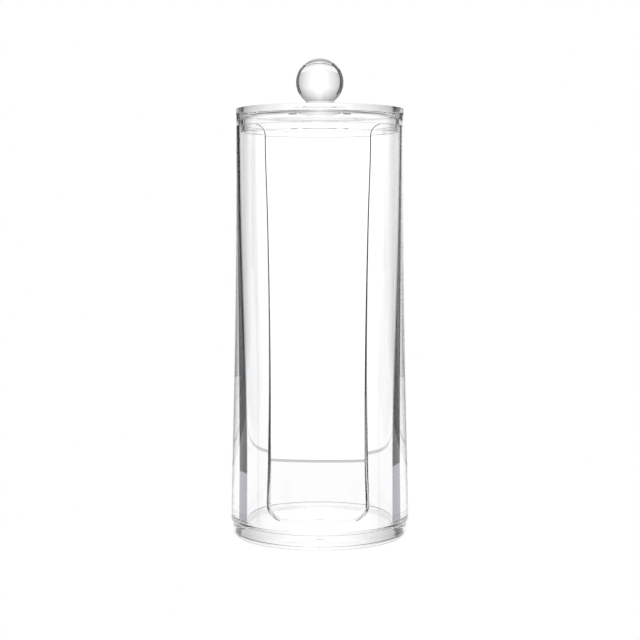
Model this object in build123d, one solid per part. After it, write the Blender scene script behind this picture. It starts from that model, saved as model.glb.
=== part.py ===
"""Clear round slotted dispenser canister with a lift-off ball-knob lid.

Millimetres, +Z up. The origin is the centre of the underside, on the axis of
the tube. The slot faces -Y. Four mouldings, as they would lie on a bench:
the slotted tube, the thick base disc bonded under it, the lid with its plug
ring, and the ball knob bonded on the lid.
"""

from build123d import *
import os

# ---------------------------------------------------------------- dimensions
# heights above the underside
Z_BASE_TOP = 6.7  # top face of the base disc, which is the floor inside
Z_RIM = 167.3  # top rim of the tube; the lid's shoulder stands on it
Z_PLUG = 164.6  # lower edge of the lid's plug ring
Z_LID_IN = 172.3  # ceiling of the recess under the lid
Z_LID_TOP = 174.55  # top face of the lid
Z_BALL = 185.3  # centre of the ball
BALL_R = 9.7

# base disc
BASE_R = 35.8
BASE_TOP_EDGE = 0.8  # rounding of the upper edge
BASE_LOW_IN = 2.2  # lower edge: how far the rounding comes in
BASE_LOW_UP = 3.1  # lower edge: how far the rounding reaches up
GATE_R = 2.4  # shallow moulding-gate dimple in the underside
GATE_DEPTH = 0.25

# slotted tube: (height, outer radius), a slight outward sweep downwards
TUBE_OUTER = [
    (Z_BASE_TOP, 36.6),
    (32.0, 36.02),
    (62.0, 35.28),
    (95.0, 34.62),
    (130.0, 34.2),
    (Z_RIM, 34.0),
]
# the bore: (height, radius), drafted so that the wall thickens downwards
TUBE_BORE = [
    (Z_BASE_TOP, 30.4),
    (39.0, 30.4),
    (76.0, 31.15),
    (97.0, 31.65),
    (138.0, 32.45),
    (Z_RIM, 32.8),
]

# slot: (height, half width) along its side edges, which are gently waisted
Z_SLOT = 11.45  # lower edge of the slot
SLOT_LOW_R = 4.8  # corner radius at the slot's lower corners
SLOT_TOP_R = 5.0  # rounding of the two wall corners at the rim
SLOT_EDGE = [
    (Z_SLOT + SLOT_LOW_R, 18.88),
    (27.0, 18.6),
    (43.0, 18.4),
    (59.0, 18.35),
    (79.0, 18.48),
    (98.0, 18.75),
    (118.0, 19.15),
    (137.0, 19.65),
    (Z_RIM - SLOT_TOP_R, 20.35),
]

# lid
LID_R = 33.96
LID_EDGE = 0.35  # rounding of the lid's upper outer edge
PLUG_R = 32.3  # plug ring, outside: 0.5 mm clear of the bore
PLUG_IN = 30.7  # plug ring and recess, inside
RECESS_EDGE = 3.0  # rounding between the recess's ceiling and its wall
PLUG_LEAD = (0.3, 0.4)  # lead-in chamfer of the plug: inwards, upwards

# knob
FOOT_R = 7.0
FOOT_H = 0.2  # the foot's thin edge; its flare starts above it
NECK_R = 5.5
NECK_Z = 176.75  # narrowest level of the neck
BALL_LOW_R = 6.1  # radius at which the neck runs into the ball

os.makedirs("parts", exist_ok=True)
C45 = 0.5**0.5


def write(solid, node):
    solid.label = node
    export_step(solid, f"parts/{node}.step")


def pt(r, z):
    """A profile point: radius along X, height along Z."""
    return (r, 0, z)


def revolved(edges):
    """Turn a closed profile, drawn in X (radius) and Z, about the Z axis."""
    return revolve(make_face(edges), axis=Axis.Z, revolution_arc=360)


# ---------------------------------------------------------------- base disc
z_up = Z_BASE_TOP - BASE_TOP_EDGE
base_edges = [
    Spline(
        pt(0, GATE_DEPTH),
        pt(GATE_R / 2, GATE_DEPTH / 2),
        pt(GATE_R, 0),
        tangents=[(1, 0, 0), (1, 0, 0)],
    ),
    Line(pt(GATE_R, 0), pt(BASE_R - BASE_LOW_IN, 0)),
    Spline(
        pt(BASE_R - BASE_LOW_IN, 0),
        pt(BASE_R - BASE_LOW_IN * (1 - C45), BASE_LOW_UP * (1 - C45)),
        pt(BASE_R, BASE_LOW_UP),
        tangents=[(1, 0, 0), (0, 0, 1)],
    ),
    Line(pt(BASE_R, BASE_LOW_UP), pt(BASE_R, z_up)),
    ThreePointArc(
        pt(BASE_R, z_up),
        pt(BASE_R - BASE_TOP_EDGE * (1 - C45), z_up + BASE_TOP_EDGE * C45),
        pt(BASE_R - BASE_TOP_EDGE, Z_BASE_TOP),
    ),
    Line(pt(BASE_R - BASE_TOP_EDGE, Z_BASE_TOP), pt(0, Z_BASE_TOP)),
    Line(pt(0, Z_BASE_TOP), pt(0, GATE_DEPTH)),
]
base_plate = revolved(base_edges)
write(base_plate, "base_plate")

# ------------------------------------------------------------- slotted tube
outer = [pt(r, z) for z, r in TUBE_OUTER]
bore = [pt(r, z) for z, r in reversed(TUBE_BORE)]
tube = revolved(
    [
        Spline(*outer),
        Line(outer[-1], bore[0]),
        Spline(*bore),
        Line(bore[-1], outer[0]),
    ]
)

# The slot is cut straight through the front wall, along Y. Its outline, in X
# and Z, opens through the rim, where the two wall corners are rounded away.
OVER = 12.0  # how far the cutter runs above the rim
w_low, w_top = SLOT_EDGE[0][1], SLOT_EDGE[-1][1]
x_end = w_top + SLOT_TOP_R


def half_outline(sign):
    """The slot's outline from the middle of its lower edge to above the rim."""
    low_in = (sign * (w_low - SLOT_LOW_R), 0, Z_SLOT)
    low_mid = (
        sign * (w_low - SLOT_LOW_R * (1 - C45)),
        0,
        Z_SLOT + SLOT_LOW_R * (1 - C45),
    )
    edge = [(sign * w, 0, z) for z, w in SLOT_EDGE]
    top_mid = (
        sign * (w_top + SLOT_TOP_R * (1 - C45)),
        0,
        Z_RIM - SLOT_TOP_R + SLOT_TOP_R * C45,
    )
    top_out = (sign * x_end, 0, Z_RIM)
    return [
        Line((0, 0, Z_SLOT), low_in),
        ThreePointArc(low_in, low_mid, edge[0]),
        Spline(*edge, tangents=[(0, 0, 1), (0, 0, 1)]),
        ThreePointArc(edge[-1], top_mid, top_out),
        Line(top_out, (sign * x_end, 0, Z_RIM + OVER)),
    ]


roof = Line((x_end, 0, Z_RIM + OVER), (-x_end, 0, Z_RIM + OVER))
slot_face = make_face(half_outline(1) + [roof] + half_outline(-1))
slot = extrude(slot_face, amount=60, dir=(0, -1, 0))
body_tube = (tube - slot).solids()[0]
write(body_tube, "body_tube")

# --------------------------------------------------------------------- lid
lead_in, lead_up = PLUG_LEAD
lid = revolved(
    [
        Line(pt(0, Z_LID_IN), pt(PLUG_IN - RECESS_EDGE, Z_LID_IN)),
        ThreePointArc(
            pt(PLUG_IN - RECESS_EDGE, Z_LID_IN),
            pt(
                PLUG_IN - RECESS_EDGE * (1 - C45),
                Z_LID_IN - RECESS_EDGE * (1 - C45),
            ),
            pt(PLUG_IN, Z_LID_IN - RECESS_EDGE),
        ),
        Line(pt(PLUG_IN, Z_LID_IN - RECESS_EDGE), pt(PLUG_IN, Z_PLUG)),
        Line(pt(PLUG_IN, Z_PLUG), pt(PLUG_R - lead_in, Z_PLUG)),
        Line(pt(PLUG_R - lead_in, Z_PLUG), pt(PLUG_R, Z_PLUG + lead_up)),
        Line(pt(PLUG_R, Z_PLUG + lead_up), pt(PLUG_R, Z_RIM)),
        Line(pt(PLUG_R, Z_RIM), pt(LID_R, Z_RIM)),
        Line(pt(LID_R, Z_RIM), pt(LID_R, Z_LID_TOP - LID_EDGE)),
        ThreePointArc(
            pt(LID_R, Z_LID_TOP - LID_EDGE),
            pt(
                LID_R - LID_EDGE * (1 - C45),
                Z_LID_TOP - LID_EDGE * (1 - C45),
            ),
            pt(LID_R - LID_EDGE, Z_LID_TOP),
        ),
        Line(pt(LID_R - LID_EDGE, Z_LID_TOP), pt(0, Z_LID_TOP)),
        Line(pt(0, Z_LID_TOP), pt(0, Z_LID_IN)),
    ]
)
write(lid, "lid")

# -------------------------------------------------------------------- knob
# A flared foot, a short waist and the ball, turned from one profile.
drop = (BALL_R**2 - BALL_LOW_R**2) ** 0.5
ball_low = pt(BALL_LOW_R, Z_BALL - drop)
z_foot = Z_LID_TOP + FOOT_H
lid_knob = revolved(
    [
        Line(pt(0, Z_LID_TOP), pt(FOOT_R, Z_LID_TOP)),
        Line(pt(FOOT_R, Z_LID_TOP), pt(FOOT_R, z_foot)),
        Spline(
            pt(FOOT_R, z_foot),
            pt(NECK_R, NECK_Z),
            ball_low,
            tangents=[(-1, 0, 0.12), (drop, 0, BALL_LOW_R)],
        ),
        ThreePointArc(ball_low, pt(BALL_R, Z_BALL), pt(0, Z_BALL + BALL_R)),
        Line(pt(0, Z_BALL + BALL_R), pt(0, Z_LID_TOP)),
    ]
)
write(lid_knob, "lid_knob")
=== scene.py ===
"""A clear moulded canister with a tall front slot and a lift-off ball-knob lid.

Everything is worked out in millimetres in the row's frame (+Z up, the slot
faces -Y) and scaled to metres when the meshes are made. Each CAD node is
replaced by a finer mesh of the same piece with its small edge radii, because
in clear plastic it is the edges that are seen.
"""

import math

import bpy
import numpy as np
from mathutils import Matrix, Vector


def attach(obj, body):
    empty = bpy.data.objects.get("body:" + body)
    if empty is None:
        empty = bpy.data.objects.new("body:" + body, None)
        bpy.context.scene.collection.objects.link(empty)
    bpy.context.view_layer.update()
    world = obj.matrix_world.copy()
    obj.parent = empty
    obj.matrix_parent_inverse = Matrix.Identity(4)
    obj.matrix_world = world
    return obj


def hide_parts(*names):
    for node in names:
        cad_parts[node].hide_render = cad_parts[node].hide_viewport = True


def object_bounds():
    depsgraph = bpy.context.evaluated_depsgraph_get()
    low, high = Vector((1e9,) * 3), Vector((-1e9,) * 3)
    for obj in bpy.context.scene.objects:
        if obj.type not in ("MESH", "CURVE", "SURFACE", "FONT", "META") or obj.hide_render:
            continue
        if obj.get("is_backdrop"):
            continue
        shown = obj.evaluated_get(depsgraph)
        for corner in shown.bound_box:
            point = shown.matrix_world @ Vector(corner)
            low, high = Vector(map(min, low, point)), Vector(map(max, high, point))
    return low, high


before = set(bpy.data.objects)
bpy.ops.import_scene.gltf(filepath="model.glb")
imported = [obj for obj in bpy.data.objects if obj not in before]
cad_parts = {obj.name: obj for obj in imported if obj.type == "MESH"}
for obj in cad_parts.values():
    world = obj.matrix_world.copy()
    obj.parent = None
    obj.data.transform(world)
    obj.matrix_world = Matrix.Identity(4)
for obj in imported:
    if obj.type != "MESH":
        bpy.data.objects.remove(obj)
cad_box = [list(v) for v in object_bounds()]

MM = 0.001
PI = math.pi

# ------------------------------------------------------------------ sizes
Z_BASE_TOP, Z_RIM, Z_PLUG = 6.7, 167.3, 164.6
Z_LID_IN, Z_LID_TOP, Z_BALL, BALL_R = 172.3, 174.55, 185.3, 9.7
BASE_R, BASE_TOP_EDGE = 35.8, 0.8
GATE_R, GATE_DEPTH = 2.4, 0.25
LID_R, PLUG_R, PLUG_IN = 33.96, 32.3, 30.7
FOOT_R, BOND_KNOB = 7.0, 6.85
BOND_IN, BOND_OUT = 30.55, 35.0
RIM_GAP = 0.05  # the tube's rounded rim stops this far under the lid

TUBE_OUTER = [(6.7, 36.6), (32.0, 36.02), (62.0, 35.28), (95.0, 34.62), (130.0, 34.2), (167.3, 34.0)]
BORE = [(6.7, 30.4), (39.0, 30.4), (76.0, 31.15), (97.0, 31.65), (138.0, 32.45), (167.3, 32.8)]
BORE_LOW = BORE[0][1]
Z_SLOT, SLOT_LOW_R, SLOT_TOP_R = 11.45, 4.8, 5.0
SLOT_EDGE = [
    (16.25, 18.88), (27.0, 18.6), (43.0, 18.4), (59.0, 18.35), (79.0, 18.48),
    (98.0, 18.75), (118.0, 19.15), (137.0, 19.65), (162.3, 20.35),
]  # fmt: skip
EDGE = 0.2  # edge rounding along the slot and the rim

SEGS = 288  # round the turned pieces
BACK = 108  # columns from the slot round to the back, on each side


# ---------------------------------------------------------------- helpers
def cubic(xs, ys, d0=None, d1=None):
    """Cubic spline through the points, with the given end slopes or natural ends. Returns f(x) -> (value, slope)."""
    xs, ys = np.array(xs, float), np.array(ys, float)
    n = len(xs)
    h = np.diff(xs)
    a, b = np.zeros((n, n)), np.zeros(n)
    for i in range(1, n - 1):
        a[i, i - 1], a[i, i], a[i, i + 1] = h[i - 1], 2 * (h[i - 1] + h[i]), h[i]
        b[i] = 6 * ((ys[i + 1] - ys[i]) / h[i] - (ys[i] - ys[i - 1]) / h[i - 1])
    if d0 is None:
        a[0, 0] = 1
    else:
        a[0, 0], a[0, 1], b[0] = 2 * h[0], h[0], 6 * ((ys[1] - ys[0]) / h[0] - d0)
    if d1 is None:
        a[-1, -1] = 1
    else:
        a[-1, -2], a[-1, -1], b[-1] = h[-1], 2 * h[-1], 6 * (d1 - (ys[-1] - ys[-2]) / h[-1])
    m = np.linalg.solve(a, b)

    def f(x):
        x = np.asarray(x, float)
        k = np.clip(np.searchsorted(xs, x) - 1, 0, n - 2)
        t, g = x - xs[k], h[k]
        s = (ys[k + 1] - ys[k]) / g - g * (2 * m[k] + m[k + 1]) / 6
        v = ys[k] + s * t + m[k] * t**2 / 2 + (m[k + 1] - m[k]) * t**3 / (6 * g)
        return v, s + m[k] * t + (m[k + 1] - m[k]) * t**2 / (2 * g)

    return f


def unit(v):
    v = np.asarray(v, float)
    return v / np.maximum(np.linalg.norm(v, axis=-1, keepdims=True), 1e-12)


class Skin:
    """Collects vertices with their true normals, welds those at one place, and makes the mesh."""

    def __init__(self):
        self.at, self.points, self.normals, self.faces, self.slots = {}, [], [], [], []

    def vertex(self, p, n):
        key = (round(p[0], 4), round(p[1], 4), round(p[2], 4))
        key = tuple(0.0 if c == 0 else c for c in key)
        if key not in self.at:
            self.at[key] = len(self.points)
            self.points.append(tuple(p))
            self.normals.append(tuple(n))
        return self.at[key]

    def face(self, ids, slot=0):
        ids = [v for k, v in enumerate(ids) if v != ids[k - 1]]
        if len(ids) > 2:
            self.faces.append(ids)
            self.slots.append(slot)

    def grid(self, points, normals, slot=0, flip=False, mirror=False):
        """points[j][i]: i goes round (+), j goes up, for an outward face. slot may be one number or one per row of faces."""
        rows, cols = len(points), len(points[0])
        for side in (1, -1) if mirror else (1,):
            s = np.array([side, 1, 1])
            ids = [[self.vertex(points[j][i] * s, normals[j][i] * s) for i in range(cols)] for j in range(rows)]
            for j in range(rows - 1):
                k = slot[j] if isinstance(slot, list) else slot
                for i in range(cols - 1):
                    quad = [ids[j][i], ids[j][i + 1], ids[j + 1][i + 1], ids[j + 1][i]]
                    if flip != (side < 0):
                        quad.reverse()
                    self.face(quad, k)

    def make(self, name, body, node, materials):
        mesh = bpy.data.meshes.new(name)
        mesh.from_pydata((np.array(self.points) * MM).tolist(), [], self.faces)
        mesh.polygons.foreach_set("material_index", self.slots)
        for m in materials:
            mesh.materials.append(m)
        mesh.shade_smooth()
        mesh.normals_split_custom_set_from_vertices(unit(self.normals).tolist())
        mesh.update()
        obj = bpy.data.objects.new(name, mesh)
        bpy.context.scene.collection.objects.link(obj)
        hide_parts(node)
        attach(obj, body)
        return obj


class Profile:
    """A turned outline in (radius, height), walked with the air on its right."""

    def __init__(self):
        self.rows = []  # radius, height, normal radius, normal height, slot of the faces after it

    def add(self, r, z, nr, nz, slot=0):
        if self.rows and math.hypot(self.rows[-1][0] - r, self.rows[-1][1] - z) < 1e-4:
            self.rows.pop()
        self.rows.append((r, z, nr, nz, slot))

    def corners(self, pts, first=None, last=None, n=6):
        """Straight runs through pts = (r, z, rounding), each corner rounded. pts with a fourth entry, a slot, sets the faces after it."""
        p = [np.array(q[:2], float) for q in pts]
        for k, q in enumerate(pts):
            slot = q[3] if len(q) > 3 else 0
            a = unit(p[k] - p[k - 1]) if k else unit(p[1] - p[0])
            b = unit(p[k + 1] - p[k]) if k < len(p) - 1 else a
            na, nb = np.array([a[1], -a[0]]), np.array([b[1], -b[0]])
            if k == 0 and first is not None:
                na = nb = np.array(first)
            if k == len(p) - 1 and last is not None:
                na = nb = np.array(last)
            rad = q[2] if len(q) > 2 else 0
            turn = math.acos(max(-1, min(1, float(a @ b))))
            if rad and turn > 0.01:
                cut = rad * math.tan(turn / 2)
                start = p[k] - a * cut
                sign = 1 if a[0] * b[1] - a[1] * b[0] > 0 else -1
                centre = start - na * rad * sign
                for i in range(n + 1):
                    t = turn * i / n
                    d = (na * math.sin(turn - t) + nb * math.sin(t)) / math.sin(turn)
                    self.add(*(centre + d * rad * sign), *d, slot)
            else:
                self.add(*p[k], *unit(na + nb), slot)

    def lathe(self, skin, segs=SEGS):
        ang = np.linspace(0, 2 * PI, segs + 1)[:-1]
        ang = np.append(ang, 0.0)
        c, s = np.cos(ang), np.sin(ang)
        pts, nrm = [], []
        for r, z, nr, nz, _ in self.rows:
            pts.append(np.stack([r * c, r * s, np.full_like(c, z)], 1))
            nrm.append(np.stack([nr * c, nr * s, np.full_like(c, nz)], 1) if r > 1e-6 else np.tile([0, 0, math.copysign(1, nz)], (len(c), 1)))
        skin.grid(pts, nrm, [q[4] for q in self.rows])


# -------------------------------------------------------------- materials
def tree(name):
    mat = bpy.data.materials.new(name)
    mat.use_nodes = True
    mat.node_tree.nodes.clear()
    return mat, mat.node_tree.nodes, mat.node_tree.links


def clear(name, tint, wave=0.012, haze=0.0):
    """Polished clear plastic: refracting, with the rubbed haze of a moulding; wave, for a faint mould flow, is not
    used.
    """
    mat, nodes, links = tree(name)
    out = nodes.new("ShaderNodeOutputMaterial")
    b = nodes.new("ShaderNodeBsdfPrincipled")
    b.inputs["Base Color"].default_value = (*tint, 1)
    b.inputs["Transmission Weight"].default_value = 1.0
    b.inputs["IOR"].default_value = 1.49
    b.inputs["Roughness"].default_value = haze
    links.new(b.outputs[0], out.inputs["Surface"])
    return mat


def bond(name):
    """Where two pieces are solvent-bonded, the plastic runs through with no surface."""
    mat, nodes, links = tree(name)
    out = nodes.new("ShaderNodeOutputMaterial")
    t = nodes.new("ShaderNodeBsdfTransparent")
    links.new(t.outputs[0], out.inputs["Surface"])
    return mat


tube_mat = clear("tube_clear", (0.985, 0.986, 0.992))
base_mat = clear("base_clear", (0.98, 0.982, 0.988))
lid_mat = clear("lid_clear", (0.985, 0.986, 0.99))
knob_mat = clear("knob_clear", (0.985, 0.987, 0.99))
bond_mat = bond("bonded_face")

# -------------------------------------------------------------- base disc
LOW_EDGE = [
    (33.6, 0.0, 1.0, 0.0), (33.8629, 0.0151, 0.9929, 0.1188), (34.1214, 0.0649, 0.9647, 0.2632),
    (34.3686, 0.1552, 0.9058, 0.4237), (34.596, 0.2876, 0.8164, 0.5775), (34.7976, 0.4568, 0.7139, 0.7003),
    (34.9732, 0.653, 0.6221, 0.7829), (35.1279, 0.8662, 0.5578, 0.83), (35.2691, 1.0887, 0.5127, 0.8586),
    (35.3971, 1.3189, 0.4572, 0.8894), (35.5092, 1.5573, 0.3922, 0.9199), (35.6032, 1.8034, 0.321, 0.9471),
    (35.6782, 2.0559, 0.248, 0.9688), (35.7341, 2.3133, 0.1771, 0.9842), (35.7719, 2.574, 0.1113, 0.9938),
    (35.7933, 2.8366, 0.0521, 0.9986), (35.8, 3.1, 0.0, 1.0),
]  # fmt: skip
base = Profile()
for i in range(15):  # the moulding gate: a shallow dimple under the middle
    t = i / 14
    rise, slope = GATE_DEPTH * (1 + math.cos(PI * t)) / 2, -GATE_DEPTH * PI / 2 * math.sin(PI * t) / GATE_R
    n = math.hypot(1, slope)
    base.add(GATE_R * t, rise, slope / n, -1 / n)
base.add(33.6, 0.0, 0, -1)
for r, z, tr, tz in LOW_EDGE:
    base.add(r, z, tz, -tr)
base.add(BASE_R, 4.5, 1, 0)
for i in range(13):
    t = PI / 2 * i / 12
    base.add(BASE_R - BASE_TOP_EDGE * (1 - math.cos(t)), Z_BASE_TOP - BASE_TOP_EDGE * (1 - math.sin(t)), math.cos(t), math.sin(t), 1 if i == 12 else 0)
base.add(BOND_IN, Z_BASE_TOP, 0, 1)
base.add(16, Z_BASE_TOP, 0, 1)
base.add(0, Z_BASE_TOP, 0, 1)
skin = Skin()
base.lathe(skin)
skin.make("base_disc", "case", "base_plate", [base_mat, bond_mat])

# --------------------------------------------------------------- the lid
lid = Profile()
lid.add(0, Z_LID_IN, 0, -1)
lid.corners(
    [
        (0, Z_LID_IN, 0),
        (PLUG_IN, Z_LID_IN, 3.0),
        (PLUG_IN, Z_PLUG, 0.2),
        (PLUG_R - 0.3, Z_PLUG, 0.15),
        (PLUG_R, Z_PLUG + 0.4, 0.25),
        (PLUG_R, Z_RIM, 0.1),
        (LID_R, Z_RIM, 0.22),
        (LID_R, Z_LID_TOP, 0.35),
        (BOND_KNOB, Z_LID_TOP, 0, 1),
        (0, Z_LID_TOP, 0, 1),
    ]
)
skin = Skin()
lid.lathe(skin)
skin.make("lid_plate", "lid", "lid", [lid_mat, bond_mat])

# -------------------------------------------------------------- the knob
NECK = [
    (6.8341, 175.2611, -0.9323, 0.3616), (6.6704, 175.3281, -0.9178, 0.397), (6.5097, 175.4018, -0.8992, 0.4375),
    (6.3527, 175.4832, -0.8751, 0.4839), (6.2006, 175.5734, -0.8433, 0.5374), (6.0551, 175.6738, -0.8008, 0.5989),
    (5.9183, 175.7857, -0.7434, 0.6689), (5.7934, 175.9108, -0.6656, 0.7463), (5.6844, 176.0499, -0.5617, 0.8273),
    (5.5964, 176.2031, -0.4287, 0.9034), (5.5343, 176.3684, -0.2709, 0.9626), (5.5013, 176.5419, -0.1021, 0.9948),
    (5.4977, 176.7186, 0.0593, 0.9982), (5.5213, 176.8936, 0.2071, 0.9783), (5.5705, 177.0634, 0.3462, 0.9381),
    (5.6429, 177.2246, 0.4696, 0.8829), (5.7354, 177.3751, 0.5734, 0.8193), (5.8445, 177.5142, 0.6577, 0.7533),
    (5.967, 177.6417, 0.7247, 0.689),
]  # fmt: skip
knob = Profile()
knob.add(0, Z_LID_TOP, 0, -1, 1)
knob.add(BOND_KNOB, Z_LID_TOP, 0, -1, 0)
for i in range(5):  # the foot's thin edge
    t = PI / 2 * i / 4
    knob.add(FOOT_R - 0.08 * (1 - math.sin(t)), Z_LID_TOP + 0.08 * (1 - math.cos(t)), math.sin(t), -math.cos(t))
for i in range(7):
    t = 1.3 * i / 6
    knob.add(FOOT_R - 0.1 * (1 - math.cos(t)), Z_LID_TOP + 0.1 + 0.1 * math.sin(t), math.cos(t), math.sin(t))
start = (FOOT_R - 0.1 * (1 - math.cos(1.3)), Z_LID_TOP + 0.1 + 0.1 * math.sin(1.3))
for k, (r, z, tr, tz) in enumerate(NECK):  # the flare, drawn out down to the plate
    f = min(1.0, k / 11)
    low = (start[0] + (5.5013 - start[0]) * math.sin(PI / 2 * f) , start[1] + (176.5419 - start[1]) * (1 - math.cos(PI / 2 * f)))
    if k < 11:
        dr, dz = (5.5013 - start[0]) * math.cos(PI / 2 * f), (176.5419 - start[1]) * math.sin(PI / 2 * f)
        if k == 0:
            dr, dz = math.cos(1.3 + PI / 2), math.sin(1.3 + PI / 2)
        n = math.hypot(dr, dz)
        knob.add(*low, dz / n, -dr / n)
    else:
        knob.add(r, z, tz, -tr)
low = math.asin(-((BALL_R**2 - 6.1**2) ** 0.5) / BALL_R)
for i in range(97):
    t = low + (PI / 2 - low) * i / 96
    knob.add(BALL_R * math.cos(t) if i < 96 else 0.0, Z_BALL + BALL_R * math.sin(t), math.cos(t), math.sin(t))
skin = Skin()
knob.lathe(skin, 192)
skin.make("ball_knob", "lid", "lid_knob", [knob_mat, bond_mat])

# ---------------------------------------------------- the slotted tube
r_out = cubic([z for z, _ in TUBE_OUTER], [r for _, r in TUBE_OUTER])
half = cubic([z for z, _ in SLOT_EDGE], [w for _, w in SLOT_EDGE], 0.0, 0.0)


r_in = cubic([z for z, _ in BORE], [r for _, r in BORE])


def on_wall(radius, theta, z, inward=False):
    """Points and normals on a wall surface; theta runs from the slot's middle round to the back."""
    r, slope = radius(z)
    st, ct = np.sin(theta), np.cos(theta)
    p = np.stack([r * st, -r * ct, np.broadcast_to(z, np.shape(r * st))], -1)
    n = unit(np.stack([st, -ct, -slope * np.ones_like(st)], -1))
    return p, -n if inward else n


# The slot's outline (x, z), its direction, and then the rim round to the back.
w_low, w_top = SLOT_EDGE[0][1], SLOT_EDGE[-1][1]
z_top = Z_RIM - RIM_GAP
out_x, out_z, dir_x, dir_z = [], [], [], []


def outline(x, z, tx, tz):
    out_x.append(float(x)), out_z.append(float(z))
    n = math.hypot(tx, tz)
    dir_x.append(tx / n), dir_z.append(tz / n)


n_floor, n_arc, n_side = 12, 14, 46
for i in range(n_floor):
    outline((w_low - SLOT_LOW_R) * i / n_floor, Z_SLOT, 1, 0)
for i in range(n_arc):
    t = PI / 2 * i / n_arc
    outline(w_low - SLOT_LOW_R + SLOT_LOW_R * math.sin(t), Z_SLOT + SLOT_LOW_R * (1 - math.cos(t)), math.cos(t), math.sin(t))
side_z = np.linspace(SLOT_EDGE[0][0], SLOT_EDGE[-1][0], n_side + 1)
for z in side_z[:-1]:
    w, dw = half(z)
    outline(w, z, float(dw), 1)
drop = z_top - SLOT_EDGE[-1][0]  # height of the rounded wall corner
for i in range(n_arc + 1):
    t = PI / 2 * i / n_arc
    outline(w_top + SLOT_TOP_R * (1 - math.cos(t)), SLOT_EDGE[-1][0] + drop * math.sin(t), SLOT_TOP_R * math.sin(t), drop * math.cos(t))
out_x, out_z, dir_x, dir_z = map(np.array, (out_x, out_z, dir_x, dir_z))
n_slot = len(out_x)
cut_n = np.stack([-dir_z, np.zeros(n_slot), dir_x], 1)


def wall_edge(radius, inward):
    """Sharp edge, its direction and the line EDGE away from it on the wall, along the slot and the rim."""
    r, slope = radius(out_z)
    theta = np.arcsin(out_x / r)
    sharp = np.stack([out_x, -r * np.cos(theta), out_z], 1)
    along = np.stack([dir_x, -(r * slope * dir_z - out_x * dir_x) / (r * np.cos(theta)), dir_z], 1)
    du = (dir_x - out_x * slope / r * dir_z) / np.cos(theta)
    size = np.hypot(du, dir_z)
    th_off = theta + EDGE * dir_z / size / r
    z_off = out_z - EDGE * du / size
    u = np.linspace(0, 1, BACK + 1)[1:]
    rim = theta[-1] + u * (PI - theta[-1])
    rt = float(radius(z_top)[0])
    rim_sharp = np.stack([rt * np.sin(rim), -rt * np.cos(rim), np.full_like(rim, z_top)], 1)
    rim_along = np.stack([np.cos(rim), np.sin(rim), np.zeros_like(rim)], 1)
    sharp = np.vstack([sharp, rim_sharp])
    along = unit(np.vstack([along, rim_along]))
    th_off = np.concatenate([th_off, rim])
    z_off = np.concatenate([z_off, np.full_like(rim, z_top - EDGE)])
    off, off_n = on_wall(radius, th_off, z_off, inward)
    return sharp, along, th_off, z_off, off, off_n


o_sharp, o_along, o_th, o_z, o_off, o_n = wall_edge(r_out, False)
i_sharp, i_along, i_th, i_z, i_off, i_n = wall_edge(r_in, True)
face_n = np.vstack([cut_n, np.tile([0.0, 0.0, 1.0], (BACK, 1))])

skin = Skin()


def wall(radius, theta, z_line, foot, inward):
    """One wall surface: rows of quads beside the slot and a few rows below it."""
    u = np.linspace(0, 1, BACK + 1)
    rows_p, rows_n = [], []
    for j in range(n_floor, n_slot):
        th = theta[j] + u * (PI - theta[j])
        p, n = on_wall(radius, th, np.full_like(th, z_line[j]), inward)
        rows_p.append(p), rows_n.append(n)
    skin.grid(rows_p, rows_n, 0, flip=inward, mirror=True)
    th = np.concatenate([theta[:n_floor], theta[n_floor] + u * (PI - theta[n_floor])])
    rows_p, rows_n = [], []
    for z in np.linspace(foot, z_line[0], 5):
        p, n = on_wall(radius, th, np.full_like(th, z), inward)
        rows_p.append(p), rows_n.append(n)
    skin.grid(rows_p, rows_n, 0, flip=inward, mirror=True)
    return th


def bezier(a, c, b, na, nb, along, n):
    """Rounds a sharp edge c from a on one face to b on the other; arrays over the edge's length."""
    pts, nrm = [], []
    for k in range(n + 1):
        t = k / n
        pts.append(a * (1 - t) ** 2 + c * 2 * t * (1 - t) + b * t**2)
        if k in (0, n):
            nrm.append(na if k == 0 else nb)
            continue
        d = unit((c - a) * (1 - t) + (b - c) * t)
        m = unit(np.cross(d, along))
        m *= np.where((m * (na + nb)).sum(1, keepdims=True) < 0, -1, 1)
        nrm.append(m)
    return pts, nrm


FOOT_OUT, FOOT_IN = 0.3, 0.15
th_out = wall(r_out, o_th, o_z, Z_BASE_TOP + FOOT_OUT, False)
th_in = wall(r_in, i_th, i_z, Z_BASE_TOP + FOOT_IN, True)

across = unit(i_sharp - o_sharp)
out_cut, in_cut = o_sharp + across * EDGE, i_sharp - across * EDGE
p1, n1 = bezier(o_off, o_sharp, out_cut, o_n, face_n, o_along, 6)
p2, n2 = bezier(in_cut, i_sharp, i_off, face_n, i_n, i_along, 6)
strip_p = p1 + [out_cut * (1 - t) + in_cut * t for t in (1 / 3, 2 / 3)] + p2
strip_n = n1 + [face_n, face_n] + n2
skin.grid(strip_p, strip_n, 0, mirror=True)

# underside of the tube, bonded to the base between BOND_IN and BOND_OUT
zo, zi = Z_BASE_TOP + FOOT_OUT, Z_BASE_TOP + FOOT_IN
a, na = on_wall(r_out, th_out, np.full_like(th_out, zo))
b_r = float(r_out(Z_BASE_TOP)[0])


def ring(r, th):
    return np.stack([r * np.sin(th), -r * np.cos(th), np.full_like(th, Z_BASE_TOP)], 1)


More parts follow.
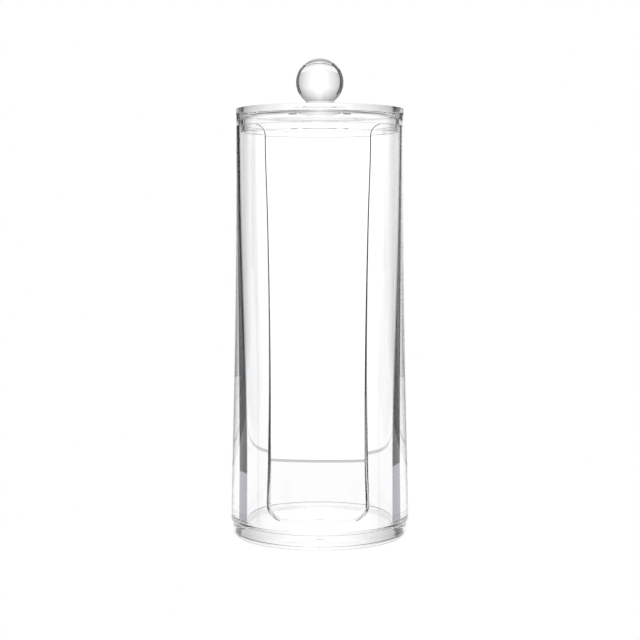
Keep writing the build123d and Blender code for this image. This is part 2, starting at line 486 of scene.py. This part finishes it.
down = np.tile([0.0, 0.0, -1.0], (len(th_out), 1))
tang = np.stack([np.cos(th_out), np.sin(th_out), np.zeros_like(th_out)], 1)
p1, n1 = bezier(a, ring(b_r, th_out), ring(b_r - FOOT_OUT, th_out), na, down, tang, 6)
tang_i = np.stack([np.cos(th_in), np.sin(th_in), np.zeros_like(th_in)], 1)
b, nb = on_wall(r_in, th_in, np.full_like(th_in, zi), True)
p2, n2 = bezier(ring(BOND_IN, th_in), ring(BORE_LOW, th_in), b, down, nb, tang_i, 5)
th_mid = (th_out + th_in) / 2
strip_p = p1 + [ring(BOND_OUT, th_out)] + p2
strip_n = n1 + [down] + n2
slots = [0] * 7 + [1] + [0] * 6
skin.grid(strip_p, strip_n, slots, flip=True, mirror=True)
skin.make("slotted_tube", "case", "body_tube", [tube_mat, bond_mat])

# ----------------------------------------------------------------- camera
DIST, HEIGHT, PITCH, TURN, FOCAL = 623.0, 129.7, 0.066, math.radians(1.6), 1520.2
cam_data = bpy.data.cameras.new("camera")
cam_data.sensor_fit = "HORIZONTAL"
cam_data.sensor_width = 36.0
cam_data.lens = FOCAL / 640 * 36.0
cam_data.clip_start, cam_data.clip_end = 0.01, 50
cam_data.dof.use_dof = False
camera = bpy.data.objects.new("camera", cam_data)
bpy.context.scene.collection.objects.link(camera)
camera.location = Vector((DIST * math.sin(TURN), -DIST * math.cos(TURN), HEIGHT)) * MM
aim = TURN - 0.2 / FOCAL
look = Vector((-math.sin(aim) * math.cos(PITCH), math.cos(aim) * math.cos(PITCH), -math.sin(PITCH)))
camera.rotation_mode = "QUATERNION"
camera.rotation_quaternion = look.to_track_quat("-Z", "Y")
bpy.context.scene.camera = camera

# ----------------------------------------------- the studio round the object
# A fixed set round the object. Its parts are lit surfaces seen only in the clear
# plastic, never by the camera itself.
def prop(name, verts, faces, mat, camera_sees=False, others_see=True):
    mesh = bpy.data.meshes.new(name)
    mesh.from_pydata([[c * MM for c in v] for v in verts], [], faces)
    mesh.materials.append(mat)
    obj = bpy.data.objects.new(name, mesh)
    bpy.context.scene.collection.objects.link(obj)
    obj.visible_camera = camera_sees
    for kind in ("diffuse", "glossy", "transmission", "volume_scatter", "shadow"):
        setattr(obj, "visible_" + kind, others_see)
    obj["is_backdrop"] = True
    return obj


def glow(name, colour, strength=1.0):
    mat, nodes, links = tree(name)
    out = nodes.new("ShaderNodeOutputMaterial")
    e = nodes.new("ShaderNodeEmission")
    e.inputs["Color"].default_value = (*colour, 1)
    e.inputs["Strength"].default_value = strength
    links.new(e.outputs[0], out.inputs["Surface"])
    return mat


def box_prop(name, centre, size, mat, turn=0.0):
    (cx, cy, cz), (sx, sy, sz) = centre, [s / 2 for s in size]
    c, s = math.cos(turn), math.sin(turn)
    verts = []
    for x, y, z in [(a, b, d) for d in (-sz, sz) for a, b in ((-sx, -sy), (sx, -sy), (sx, sy), (-sx, sy))]:
        verts.append((cx + x * c - y * s, cy + x * s + y * c, cz + z))
    faces = [(0, 3, 2, 1), (4, 5, 6, 7), (0, 1, 5, 4), (1, 2, 6, 5), (2, 3, 7, 6), (3, 0, 4, 7)]
    return prop(name, verts, faces, mat)


def ramp(nodes, stops):
    r = nodes.new("ShaderNodeValToRGB")
    r.color_ramp.interpolation = "LINEAR"
    e = r.color_ramp.elements
    while len(e) > 1:
        e.remove(e[-1])
    e[0].position, e[0].color = stops[0][0], (stops[0][1],) * 3 + (1,)
    for at, v in stops[1:]:
        e.new(at).color = (v,) * 3 + (1,)
    return r


def node_math(nodes, links, op, *args):
    m = nodes.new("ShaderNodeMath")
    m.operation = op
    for k, a in enumerate(args):
        if isinstance(a, (int, float)):
            m.inputs[k].default_value = a
        else:
            links.new(a, m.inputs[k])
    return m.outputs[0]


def dome():
    """The room: a white sweep behind the object that falls off to the sides and above, with a dark band on each side, a
    grey band each side towards the front, and white in front.
    """
    mat, nodes, links = tree("room")
    out = nodes.new("ShaderNodeOutputMaterial")
    e = nodes.new("ShaderNodeEmission")
    co = nodes.new("ShaderNodeTexCoord")
    sep = nodes.new("ShaderNodeSeparateXYZ")
    links.new(co.outputs["Object"], sep.inputs[0])
    x, y, z = sep.outputs
    around = node_math(nodes, links, "ARCTAN2", x, y)  # 0 straight behind, + to the right
    around = node_math(nodes, links, "DIVIDE", around, 2 * PI)
    around = node_math(nodes, links, "ADD", around, 0.5)
    flat = node_math(nodes, links, "SQRT", node_math(nodes, links, "ADD", node_math(nodes, links, "MULTIPLY", x, x), node_math(nodes, links, "MULTIPLY", y, y)))
    up = node_math(nodes, links, "ARCTAN2", node_math(nodes, links, "SUBTRACT", z, 0.1), flat)
    up = node_math(nodes, links, "ADD", node_math(nodes, links, "DIVIDE", up, PI), 0.5)
    a = lambda deg: 0.5 + deg / 360
    side = ramp(nodes, [
        (0.0, 1.0), (a(-135), 1.0), (a(-130), 0.2), (a(-118), 0.2), (a(-112), 1.0), (a(-70), 1.0), (a(-63), 0.03), (a(-50), 0.03), (a(-46), 0.5), (a(-40), 0.58), (a(-27), 0.8), (a(-20), 0.92), (a(-15), 1.0), (a(-9), 1.06), (a(-4), 1.2),
        (a(4), 1.2), (a(9), 1.06), (a(15), 1.0), (a(20), 0.92), (a(27), 0.8), (a(40), 0.58), (a(49), 0.5), (a(52), 0.03), (a(63), 0.03), (a(70), 1.0), (a(112), 1.0), (a(118), 0.2), (a(130), 0.2), (a(135), 1.0), (1.0, 1.0),
    ])  # fmt: skip
    v = lambda deg: 0.5 + deg / 180
    tall = ramp(nodes, [
        (0.0, 0.75), (v(-28), 0.75), (v(-21), 1.0), (v(18), 1.0), (v(22), 0.9), (v(29), 0.77), (v(38), 0.6), (v(44), 0.5), (v(56), 0.5), (v(66), 0.7), (1.0, 0.7),
    ])  # fmt: skip
    links.new(around, side.inputs[0])
    links.new(up, tall.inputs[0])
    low = ramp(nodes, [(0.0, 1.0), (v(-13), 1.0), (v(-10), 0.0), (1.0, 0.0)])
    links.new(up, low.inputs[0])
    lit = node_math(nodes, links, "MULTIPLY", side.outputs[0], tall.outputs[0])
    lit = node_math(nodes, links, "MAXIMUM", lit, low.outputs[0])
    links.new(lit, e.inputs["Strength"])
    e.inputs["Color"].default_value = (1, 1, 1, 1)
    links.new(e.outputs[0], out.inputs["Surface"])
    verts, faces, n, m = [], [], 48, 24
    for j in range(m + 1):
        for i in range(n):
            p, t = 2 * PI * i / n, PI * j / m
            verts.append((1500 * math.sin(t) * math.cos(p), 1500 * math.sin(t) * math.sin(p), 1500 * math.cos(t) + 100))
    for j in range(m):
        for i in range(n):
            faces.append((j * n + i, j * n + (i + 1) % n, (j + 1) * n + (i + 1) % n, (j + 1) * n + i))
    prop("room", verts, faces, mat)


dome()

# The table: white, with a light grey back edge.
prop("table_top", [(-1300, -700, -0.1), (1300, -700, -0.1), (1300, 176, -0.1), (-1300, 176, -0.1)], [(0, 1, 2, 3)],
     glow("table_white", (1, 1, 1)))  # fmt: skip
box_prop("table_edge", (0, 176.0, 0.0), (2600, 1.0, 2.4), glow("edge_grey", (0.56, 0.57, 0.58)))

# Narrow cards stand close beside the object, left and right, following its wall:
# they draw the dark line down each side. They are dark towards the front and white
# towards the back. Their grey feet are painted shade: they stand in for the darker
# table under the cards.
def card(name, side, inner, foot, y, outer):
    dark, grey = glow(name + "_dark", (0.018, 0.02, 0.024)), glow(name + "_grey", (0.36, 0.37, 0.4))
    runs = [("", inner[2:], dark, y), ("_low", inner[:3], dark, y)]
    # the grey foot is painted shade: the darker table under the card
    if foot:
        runs.append(("_foot", foot + inner[:1], grey, y))
    runs.append(("_back", foot + inner, glow(name + "_white", (1, 1, 1)), y + 0.3))
    for part, run, mat, at in runs:
        verts, faces = [], []
        for x, z in run:
            verts += [(side * x, at, z), (side * float(np.interp(z, *zip(*outer))), at, z - (4.0 if foot and z == inner[0][1] else 0))]
        for k in range(len(run) - 1):
            faces.append((2 * k, 2 * k + 1, 2 * k + 3, 2 * k + 2))
        prop(name + part, verts, faces, mat).visible_glossy = not part


card("card_left", -1, [
    (39.7, 25.2), (38.95, 39.0), (37.9, 65.0), (36.85, 96.0), (35.5, 138.0), (34.8, 160.0), (34.6, 167.0), (35.0, 168.0),
    (35.0, 171.6), (34.0, 172.2), (34.0, 177.0),
], [(40.2, 0.2)], 0.0, [(0, 55.8), (25, 54.8), (39, 53.6), (55, 51.6), (96, 46.6), (138, 42.9), (177, 41.0)])  # fmt: skip
card("card_right", 1, [
    (38.4, 29.0), (37.9, 39.0), (37.4, 65.0), (36.8, 96.0), (36.3, 138.0), (36.0, 160.0), (35.8, 167.0), (36.2, 168.0),
    (36.2, 171.6), (34.0, 172.2), (34.0, 177.0),
], [(38.8, 0.2)], 0.0, [(0, 52.0), (25, 51.0), (39, 50.0), (55, 48.4), (96, 44.3), (138, 41.2), (177, 39.8)])  # fmt: skip
for side, name in ((-1, "slot_card_left"), (1, "slot_card_right")):
    card(name, side, [(31.4, 0.2), (30.0, 60.0), (28.6, 110.0), (27.6, 165.0)], [], -21.0, [(0, 43.0), (177, 40.0)])


# Small cards close behind the ball darken its outline: two beside its far side and
# a grey one under it. They travel with the lid.
dark = glow("small_card_dark", (0.012, 0.012, 0.016))
zc = Z_BALL + 0.8
for side, name in ((-1, "ball_card_left"), (1, "ball_card_right")):
    verts, faces, n = [], [], 12
    for y in (9.8, 15.2):
        for i in range(n + 1):
            t = math.radians(-50 + 88 * i / n)
            verts.append((side * 4.5 * math.cos(t), y, zc + 4.5 * math.sin(t)))
    for i in range(n):
        faces.append((i, i + 1, n + 2 + i, n + 1 + i))
    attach(prop(name, verts, faces, dark), "lid")
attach(prop("ball_card_low", [(-7, 8.4, 176), (7, 8.4, 176), (9, 22, 176), (-9, 22, 176)], [(0, 1, 2, 3)], glow("small_card_grey", (0.36, 0.36, 0.38))), "lid")
# Two thin dark sheets stand beside the ball in its own plane, seen only in the plastic: painted shade that draws the
# ball's dark rims.
for side, name in ((-1, "ball_rim_shade_left"), (1, "ball_rim_shade_right")):
    verts, n = [], 16
    for r in (10.3, 14.0):
        for i in range(n + 1):
            t = math.radians(-27 + 62 * i / n)
            verts.append((side * r * math.cos(t), 1.5, Z_BALL + r * math.sin(t)))
    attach(prop(name, verts, [(i, i + 1, n + 2 + i, n + 1 + i) for i in range(n)], dark), "lid")

# The pale floor and the world, as the camera sees them.
prop("floor", [(-4000, -4000, -0.2), (4000, -4000, -0.2), (4000, 4000, -0.2), (-4000, 4000, -0.2)], [(0, 1, 2, 3)],
     glow("floor_white", (1, 1, 1)), camera_sees=True, others_see=False)  # fmt: skip
world = bpy.data.worlds.new("studio")
bpy.context.scene.world = world
world.use_nodes = True
bg = world.node_tree.nodes["Background"]
bg.inputs["Color"].default_value = (1, 1, 1, 1)
bg.inputs["Strength"].default_value = 1.0

# --------------------------------------------------------------- rendering
scene = bpy.context.scene
scene.view_settings.view_transform = "Standard"
scene.view_settings.look = "None"
scene.view_settings.exposure = 0
scene.view_settings.gamma = 1
scene.cycles.max_bounces = 16
scene.cycles.transmission_bounces = 16
scene.cycles.glossy_bounces = 16
scene.cycles.transparent_max_bounces = 32
scene.cycles.sample_clamp_indirect = 0

{"cad": cad_box, "shown": [list(v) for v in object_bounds()]}
